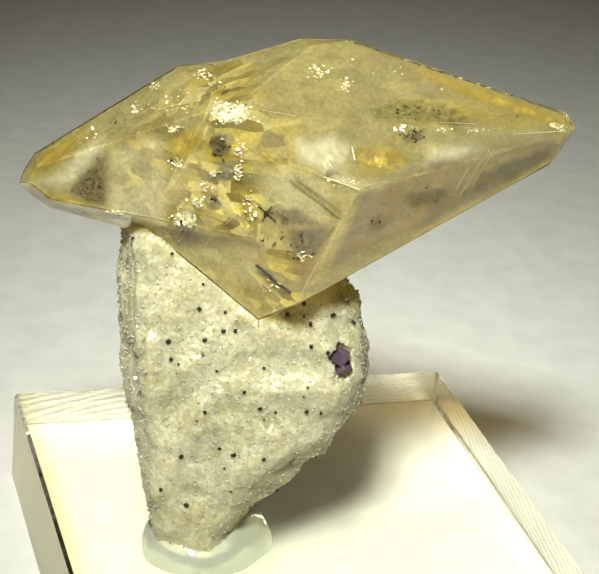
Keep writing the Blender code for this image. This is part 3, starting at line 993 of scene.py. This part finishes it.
def any_turn(draw):
    """A random rotation."""
    return Euler([draw.uniform(0.0, 6.28) for _ in range(3)]).to_matrix()


def block_crystals(name, places):
    """Many small blocky crystals in one mesh, from their centre, three sizes and turn."""
    pattern = bmesh.new()
    bmesh.ops.create_cube(pattern, size=1.0)
    pattern.verts.index_update()
    corners = [vertex.co.copy() for vertex in pattern.verts]
    faces = [[vertex.index for vertex in face.verts] for face in pattern.faces]
    pattern.free()
    all_corners = []
    all_faces = []
    for centre, sizes, turn in places:
        first = len(all_corners)
        for corner in corners:
            all_corners.append((centre + turn @ (corner * Vector(sizes))) * MM)
        all_faces.extend([first + index for index in face] for face in faces)
    mesh = bpy.data.meshes.new(name)
    mesh.from_pydata(all_corners, [], all_faces)
    return mesh


def stone_points(count, draw):
    """Random points on the stone's solid, spread by area, with the surface's direction."""
    bm = solid_of("stone_matrix")
    bm.normal_update()
    faces = bm.faces[:]
    areas = np.cumsum([face.calc_area() for face in faces])
    points = []
    for _ in range(count):
        face = faces[int(np.searchsorted(areas, draw.random() * areas[-1]))]
        corners = [vertex.co for vertex in face.verts[:3]]
        first = draw.random()
        second = draw.random() * (1.0 - first)
        place = corners[0] * (1.0 - first - second) + corners[1] * first + corners[2] * second
        points.append((place, face.normal.copy()))
    bm.free()
    return points


def build_druse(looks):
    """The stone's separate small crystals."""
    draw = random.Random(11)
    grains = []
    for place, normal in stone_points(looks.grain_count, draw):
        if CRYSTAL_TREE.find_nearest(place)[3] < GRAIN_CLEARANCE:
            continue
        size = draw.uniform(0.08, 0.2)
        turn = any_turn(draw)
        grains.append((place + normal * 0.06 * draw.random(), (size,) * 3, turn))
    add_piece(block_crystals("druse_crystals", grains), (grain_material(looks),))


# The clear bead crystal on the stone's upper right shoulder, in the specimen's upright frame.
BEAD_PLACE = (11.9, -3.5, 23.5)
BEAD_RADIUS = 0.42


def bead_material(looks):
    """A small calcite crystal without clouds: clear and glossy, a shade darker than the druse."""
    finish = {"Roughness": 0.08, "IOR": CALCITE_IOR, "Transmission Weight": 0.75}
    tones = (looks.pale, srgb("#A9A48C"))
    return mottled_material("stone_clear_calcite", {"Scale": 2.0, "Detail": 2.0}, tones, finish)


def build_bead(looks):
    """The bead crystal: a ball with six flats cut on it, sunk a little into the stone."""
    bm = bmesh.new()
    bmesh.ops.create_icosphere(bm, subdivisions=2, radius=1.0)
    foot, normal, _, _ = STONE_TREE.find_nearest(specimen_matrix() @ Vector(BEAD_PLACE))
    middle = foot + normal * BEAD_RADIUS * 0.7
    for vertex in bm.verts:
        far = max(abs(value) for value in vertex.co)
        vertex.co *= BEAD_RADIUS * min(1.0, 0.8 / far)
        vertex.co = Matrix.Rotation(0.6, 3, "X") @ vertex.co + middle
    bmesh.ops.recalc_face_normals(bm, faces=bm.faces)
    add_piece(finish_mesh(bm, "bead_crystal", sharp=20.0), (bead_material(looks),))


# Dark specks on the stone, in the photograph's pixels.
SPECKS = (
    (199, 309), (223, 287), (203, 284), (226, 312), (224, 331), (235, 331), (205, 340), (203, 354),
    (168, 341), (171, 359), (179, 364), (217, 371), (244, 392), (264, 368), (308, 388), (304, 396),
    (321, 412), (307, 411), (260, 408), (264, 419), (275, 412), (205, 412), (197, 420), (220, 448),
    (234, 455), (181, 456), (264, 459), (162, 489), (186, 505), (225, 468), (231, 491), (304, 316),
    (311, 324), (332, 315), (352, 323), (312, 346), (327, 352), (287, 314), (304, 303), (134, 238),
    (179, 249), (172, 253),
)
STONE_MIDDLE = (240, 380)
# Points drawn on the stone; those on the sides that the photograph doesn't show get a speck.
SPECK_DRAWS = 160
# How far a speck's middle stands off the solid stone: the druse about it is that high.
SPECK_LIFT = 0.16


def speck_material(looks):
    """Small sulphide crystals: nearly black, with a dull metal shine."""
    tones = (looks.speck, srgb("#3A3020"))
    finish = {"Roughness": 0.35, "Metallic": 0.3}
    return mottled_material("speck_dark_sulphide", {"Scale": 5.0}, tones, finish)


def build_specks(looks):
    """The stone's dark specks: those that the photograph shows, and others on its far sides."""
    draw = random.Random(23)
    seen = [seen_on(STONE_TREE, pixel) for pixel in SPECKS]
    places = [(place, normal) for place, normal in seen if place is not None]
    for place, normal in stone_points(SPECK_DRAWS, draw):
        hidden = normal.dot(sight(STONE_MIDDLE)) > 0.1
        if hidden and CRYSTAL_TREE.find_nearest(place)[3] > GRAIN_CLEARANCE:
            places.append((place, normal))
    specks = []
    for place, normal in places:
        size = draw.uniform(0.14, 0.28)
        turn = any_turn(draw)
        specks.append((place + normal * SPECK_LIFT, (size, size, size * draw.uniform(0.6, 1.5)), turn))
    add_piece(block_crystals("dark_specks", specks), (speck_material(looks),))


# The fluorite


def fluorite_material(looks):
    """Purple fluorite: a waxy to glassy cube face over a deep colour."""
    tones = (looks.purple, srgb("#74616F"))
    finish = {"Roughness": 0.22, "IOR": FLUORITE_IOR, "Transmission Weight": 0.2}
    return mottled_material("fluorite_purple", {"Scale": 1.5, "Detail": 3.0}, tones, finish)


def build_fluorite(looks):
    """The fluorite cubes, with their edges just rounded and their faces a little uneven."""
    bm = worn_solid("fluorite_grain", width=0.05, segments=1, longest=0.3)
    for vertex in bm.verts:
        vertex.co += vertex.normal * 0.04 * noise.noise(vertex.co * 1.5)
    mesh = finish_mesh(bm, "fluorite_cubes")
    add_piece(mesh, (fluorite_material(looks),), "fluorite_grain")


# The adhesive and the block


def adhesive_material(looks):
    """Set clear adhesive: a smooth, slightly wavy, faintly blue-green clear dome."""
    material, tree, shader, place = new_material("adhesive_clear_set")
    wave = add_node(tree, "TexNoise", {"Vector": place, "Scale": 0.6, "Detail": 2.0})
    bump = add_node(tree, "Bump", {"Height": wave, "Strength": 0.3, "Distance": 0.2 * MM})
    clear = {"Roughness": 0.05, "IOR": ADHESIVE_IOR, "Transmission Weight": 0.62}
    set_node(tree, shader, {"Base Color": looks.adhesive, "Normal": bump, **clear})
    let_lamps_through(tree, shader, srgb("#F4F8F4"))
    add_absorption(tree, srgb("#D6EEE8"), 20.0)
    return material


ADHESIVE_CENTRE = (-9.6, -6.3)
ADHESIVE_SIZE = (12.6, 10.4, 4.0)
ADHESIVE_TURN = 34.0
# The bead reaches this far into the block, so that no gap between them mirrors the light.
ADHESIVE_BOND = 0.15


def build_adhesive(looks):
    """The bead of adhesive, a low uneven dome."""
    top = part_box("acrylic_block")[1][2] / MM
    bm = bmesh.new()
    length, width, height = ADHESIVE_SIZE
    bmesh.ops.create_uvsphere(bm, u_segments=96, v_segments=64, radius=1.0)
    below = [vertex for vertex in bm.verts if vertex.co.z < -0.02]
    bmesh.ops.delete(bm, geom=below, context="VERTS")
    rim = [edge for edge in bm.edges if edge.is_boundary]
    bmesh.ops.contextual_create(bm, geom=rim)
    turn = Matrix.Rotation(math.radians(ADHESIVE_TURN), 4, "Z")
    for vertex in bm.verts:
        wobble = 1.0 + 0.05 * noise.noise(vertex.co * 1.7)
        across, along, up = vertex.co
        spot = Vector((across * length / 2.0, along * width / 2.0, up * height)) * wobble
        spot.z = max(0.0, spot.z)
        vertex.co = turn @ spot + Vector((*ADHESIVE_CENTRE, top - ADHESIVE_BOND))
    bmesh.ops.recalc_face_normals(bm, faces=bm.faces)
    mesh = finish_mesh(bm, "adhesive_dome")
    mesh.shade_smooth()
    mesh.set_sharp_from_angle(angle=math.radians(60.0))
    add_piece(mesh, (adhesive_material(looks),), "adhesive_bead")


def acrylic_material(looks):
    """Cast acrylic sheet: water-clear, faintly ivory, with a few fine scratches."""
    material, tree, shader, place = new_material("acrylic_cast_polished")
    scuff = add_node(tree, "TexNoise", {"Vector": place, "Scale": 0.9, "Detail": 6.0})
    span = {"From Min": 0.45, "From Max": 0.8, "To Min": 0.015, "To Max": 0.12}
    haze = add_node(tree, "MapRange", {"Value": scuff, **span})
    clear = {"Base Color": (1.0, 1.0, 1.0), "IOR": ACRYLIC_IOR, "Transmission Weight": 1.0}
    set_node(tree, shader, {"Roughness": haze, **clear})
    let_lamps_through(tree, shader, srgb("#E0DED4"))
    add_absorption(tree, looks.acrylic, ACRYLIC_DENSITY)
    return material


def sawn_material(looks):
    """The sheet's sawn edges: frosted, with coarse slanting tooth marks."""
    material, tree, shader, place = new_material("acrylic_sawn_edge")
    grit = add_node(tree, "TexNoise", {"Vector": place, "Scale": 3.0, "Detail": 4.0})
    bump = add_node(tree, "Bump", {"Height": grit, "Strength": 0.35, "Distance": 0.08 * MM})
    frosted = {"Roughness": 0.28, "IOR": ACRYLIC_IOR, "Transmission Weight": 0.92}
    set_node(tree, shader, {"Base Color": (1.0, 0.98, 0.92), "Normal": bump, **frosted})
    let_lamps_through(tree, shader, srgb("#F4F0E2"))
    add_absorption(tree, looks.acrylic, ACRYLIC_DENSITY)
    return material


def build_block(looks):
    """The block, with saw marks cut into its sides."""
    bm = plain_solid("acrylic_block")
    sides = [face for face in bm.faces if abs(face.normal.z) < 0.1 and face.calc_area() > 50.0]
    for face in sides:
        face.material_index = 1
    refine(bm, 0.6)
    bm.normal_update()
    spacing = looks.saw_spacing / MM
    depth = looks.saw_depth / MM
    for vertex in bm.verts:
        faces = vertex.link_faces
        if not all(face.material_index == 1 and face.normal.dot(vertex.normal) > 0.999 for face in faces):
            continue
        along = vertex.co.x if abs(vertex.normal.y) > 0.5 else vertex.co.y
        phase = (along + 0.55 * vertex.co.z + 0.6 * noise.noise(vertex.co / 5.0)) / spacing
        cut = 0.5 + 0.5 * math.sin(phase * 2.0 * math.pi)
        vertex.co -= vertex.normal * depth * cut * (0.6 + 0.8 * abs(noise.noise(vertex.co / 3.0)))
    materials = (acrylic_material(looks), sawn_material(looks))
    add_piece(finish_mesh(bm, "sawn_block"), materials, "acrylic_block")


# The stage


def floor_material(looks):
    """Matt white board, a little mottled."""
    material, tree, shader, place = new_material("stage_matt_board")
    mottle = add_node(tree, "TexNoise", {"Vector": place, "Scale": 0.25, "Detail": 3.0})
    tone = add_node(tree, "MapRange", {"Value": mottle, "From Min": 0.35, "From Max": 0.65})
    colour = add_node(tree, "Mix", {**COLOURS, 0: tone, 6: looks.floor, 7: darker(looks.floor, 0.92)})
    set_node(tree, shader, {"Base Color": colour, "Roughness": 0.9})
    return material


def add_lamp(name, direction, distance, width, power, colour, aim=LOOK_AT):
    """A soft square lamp, placed by its direction from the specimen."""
    lamp = bpy.data.lights.new(name, "AREA")
    lamp.shape = "SQUARE"
    lamp.size = width * MM
    lamp.energy = power
    lamp.color = colour
    holder = add_object(name, lamp)
    place = Vector(LOOK_AT) + Vector(direction).normalized() * distance
    holder.location = place * MM
    holder.rotation_euler = (place - Vector(aim)).to_track_quat("Z", "Y").to_euler()
    return lamp


def add_camera():
    """The camera, where the photograph was taken from."""
    data = bpy.data.cameras.new("camera")
    data.sensor_width = SENSOR
    data.lens = FOCAL_PIXELS / PHOTO_SIZE[0] * SENSOR
    data.clip_start = 0.01
    camera = add_object("camera", data)
    camera.location = Vector(CAMERA_PLACE) * MM
    camera.rotation_euler = [math.radians(angle) for angle in CAMERA_TURN]
    bpy.context.scene.camera = camera


def build_stage(looks):
    """Floor, light, camera and how the picture is developed."""
    bm = bmesh.new()
    bmesh.ops.create_grid(bm, x_segments=1, y_segments=1, size=FLOOR_REACH)
    bmesh.ops.translate(bm, vec=(0.0, 0.0, -FLOOR_GAP), verts=bm.verts)
    mesh = finish_mesh(bm, "floor")
    mesh.materials.append(floor_material(looks))
    add_object("floor", mesh)
    white = srgb("#FBFFF0")
    key = add_lamp("key", KEY_DIRECTION, KEY_DISTANCE, KEY_WIDTH, looks.key_power, white, KEY_AIM)
    key.spread = math.radians(KEY_BEAM)
    side = add_lamp("side", SIDE_DIRECTION, SIDE_DISTANCE, SIDE_WIDTH, looks.side_power, white)
    side.spread = math.radians(SIDE_BEAM)
    add_lamp("fill", FILL_DIRECTION, FILL_DISTANCE, FILL_WIDTH, looks.fill_power, srgb("#FFF8EA"))
    world = bpy.data.worlds.new("room")
    world.use_nodes = True
    tree = world.node_tree
    set_node(tree, tree.nodes["Background"], {"Color": srgb("#BC9562"), "Strength": looks.ambient})
    scene = bpy.context.scene
    scene.world = world
    scene.view_settings.view_transform = "Standard"
    scene.cycles.use_denoising = True
    scene.cycles.max_bounces = 16
    scene.cycles.transmission_bounces = 16
    add_camera()


class SPECIMEN_OT_stage(bpy.types.Operator):
    """Add the floor, the lamps and the camera"""

    bl_idname = "specimen.stage"
    bl_label = "Stage"

    def execute(self, context):
        build_stage(context.scene.stage_looks)
        return {"FINISHED"}


class SPECIMEN_OT_crystal(bpy.types.Operator):
    """Add the calcite twin's faces"""

    bl_idname = "specimen.crystal"
    bl_label = "Calcite crystal"

    def execute(self, context):
        build_crystal(context.scene.crystal_looks)
        return {"FINISHED"}


class SPECIMEN_OT_clouds(bpy.types.Operator):
    """Add the clouds inside the crystal"""

    bl_idname = "specimen.clouds"
    bl_label = "Inner clouds"

    def execute(self, context):
        build_clouds(context.scene.crystal_looks)
        return {"FINISHED"}


class SPECIMEN_OT_veils(bpy.types.Operator):
    """Add the veils inside the crystal"""

    bl_idname = "specimen.veils"
    bl_label = "Inner veils"

    def execute(self, context):
        build_veils()
        return {"FINISHED"}


class SPECIMEN_OT_flakes(bpy.types.Operator):
    """Add the bright cleavage flakes inside the crystal"""

    bl_idname = "specimen.flakes"
    bl_label = "Cleavage flakes"

    def execute(self, context):
        build_flakes()
        return {"FINISHED"}


class SPECIMEN_OT_inclusions(bpy.types.Operator):
    """Add the dark inclusions and the healed cracks inside the crystal"""

    bl_idname = "specimen.inclusions"
    bl_label = "Dark inclusions"

    def execute(self, context):
        build_inclusions(context.scene.crystal_looks)
        return {"FINISHED"}


class SPECIMEN_OT_stone(bpy.types.Operator):
    """Add the druzy stone"""

    bl_idname = "specimen.stone"
    bl_label = "Stone"

    def execute(self, context):
        build_stone(context.scene.stone_looks)
        return {"FINISHED"}


class SPECIMEN_OT_druse(bpy.types.Operator):
    """Add the stone's separate crystals"""

    bl_idname = "specimen.druse"
    bl_label = "Druse crystals"

    def execute(self, context):
        build_druse(context.scene.stone_looks)
        return {"FINISHED"}


class SPECIMEN_OT_bead(bpy.types.Operator):
    """Add the clear bead crystal on the stone"""

    bl_idname = "specimen.bead"
    bl_label = "Bead crystal"

    def execute(self, context):
        build_bead(context.scene.stone_looks)
        return {"FINISHED"}


class SPECIMEN_OT_specks(bpy.types.Operator):
    """Add the stone's dark specks"""

    bl_idname = "specimen.specks"
    bl_label = "Dark specks"

    def execute(self, context):
        build_specks(context.scene.stone_looks)
        return {"FINISHED"}


class SPECIMEN_OT_fluorite(bpy.types.Operator):
    """Add the purple fluorite"""

    bl_idname = "specimen.fluorite"
    bl_label = "Fluorite"

    def execute(self, context):
        build_fluorite(context.scene.stone_looks)
        return {"FINISHED"}


class SPECIMEN_OT_adhesive(bpy.types.Operator):
    """Add the clear adhesive"""

    bl_idname = "specimen.adhesive"
    bl_label = "Adhesive"

    def execute(self, context):
        build_adhesive(context.scene.mount_looks)
        return {"FINISHED"}


class SPECIMEN_OT_block(bpy.types.Operator):
    """Add the sawn acrylic block"""

    bl_idname = "specimen.block"
    bl_label = "Acrylic block"

    def execute(self, context):
        build_block(context.scene.mount_looks)
        return {"FINISHED"}


OPERATORS = (
    SPECIMEN_OT_stage,
    SPECIMEN_OT_block,
    SPECIMEN_OT_adhesive,
    SPECIMEN_OT_stone,
    SPECIMEN_OT_druse,
    SPECIMEN_OT_bead,
    SPECIMEN_OT_specks,
    SPECIMEN_OT_fluorite,
    SPECIMEN_OT_crystal,
    SPECIMEN_OT_clouds,
    SPECIMEN_OT_veils,
    SPECIMEN_OT_flakes,
    SPECIMEN_OT_inclusions,
)


class SPECIMEN_PT_panel(bpy.types.Panel):
    """The pieces of the specimen"""

    bl_idname = "SPECIMEN_PT_panel"
    bl_label = "Calcite specimen"
    bl_space_type = "VIEW_3D"
    bl_region_type = "UI"
    bl_category = "Calcite"

    def draw(self, context):
        for operator in OPERATORS:
            self.layout.operator(operator.bl_idname)
        for name in LOOKS:
            looks = getattr(context.scene, name)
            for value in looks.bl_rna.properties.keys():
                if value not in ("rna_type", "name"):
                    self.layout.prop(looks, value)


LOOKS = {
    "crystal_looks": CrystalLooks,
    "stone_looks": StoneLooks,
    "mount_looks": MountLooks,
    "stage_looks": StageLooks,
}


def register():
    """Add the classes and the scene's settings."""
    for name, kind in LOOKS.items():
        bpy.utils.register_class(kind)
        setattr(bpy.types.Scene, name, PointerProperty(type=kind))
    for kind in (*OPERATORS, SPECIMEN_PT_panel):
        bpy.utils.register_class(kind)


def unregister():
    """Take them away again."""
    for kind in (*OPERATORS, SPECIMEN_PT_panel):
        bpy.utils.unregister_class(kind)
    for name, kind in LOOKS.items():
        delattr(bpy.types.Scene, name)
        bpy.utils.unregister_class(kind)


def main():
    """Build every piece in turn."""
    register()
    bpy.ops.specimen.stage()
    bpy.ops.specimen.block()
    bpy.ops.specimen.adhesive()
    bpy.ops.specimen.stone()
    bpy.ops.specimen.druse()
    bpy.ops.specimen.bead()
    bpy.ops.specimen.specks()
    bpy.ops.specimen.fluorite()
    bpy.ops.specimen.crystal()
    bpy.ops.specimen.clouds()
    bpy.ops.specimen.veils()
    bpy.ops.specimen.flakes()
    bpy.ops.specimen.inclusions()


if __name__ == "__main__":
    main()
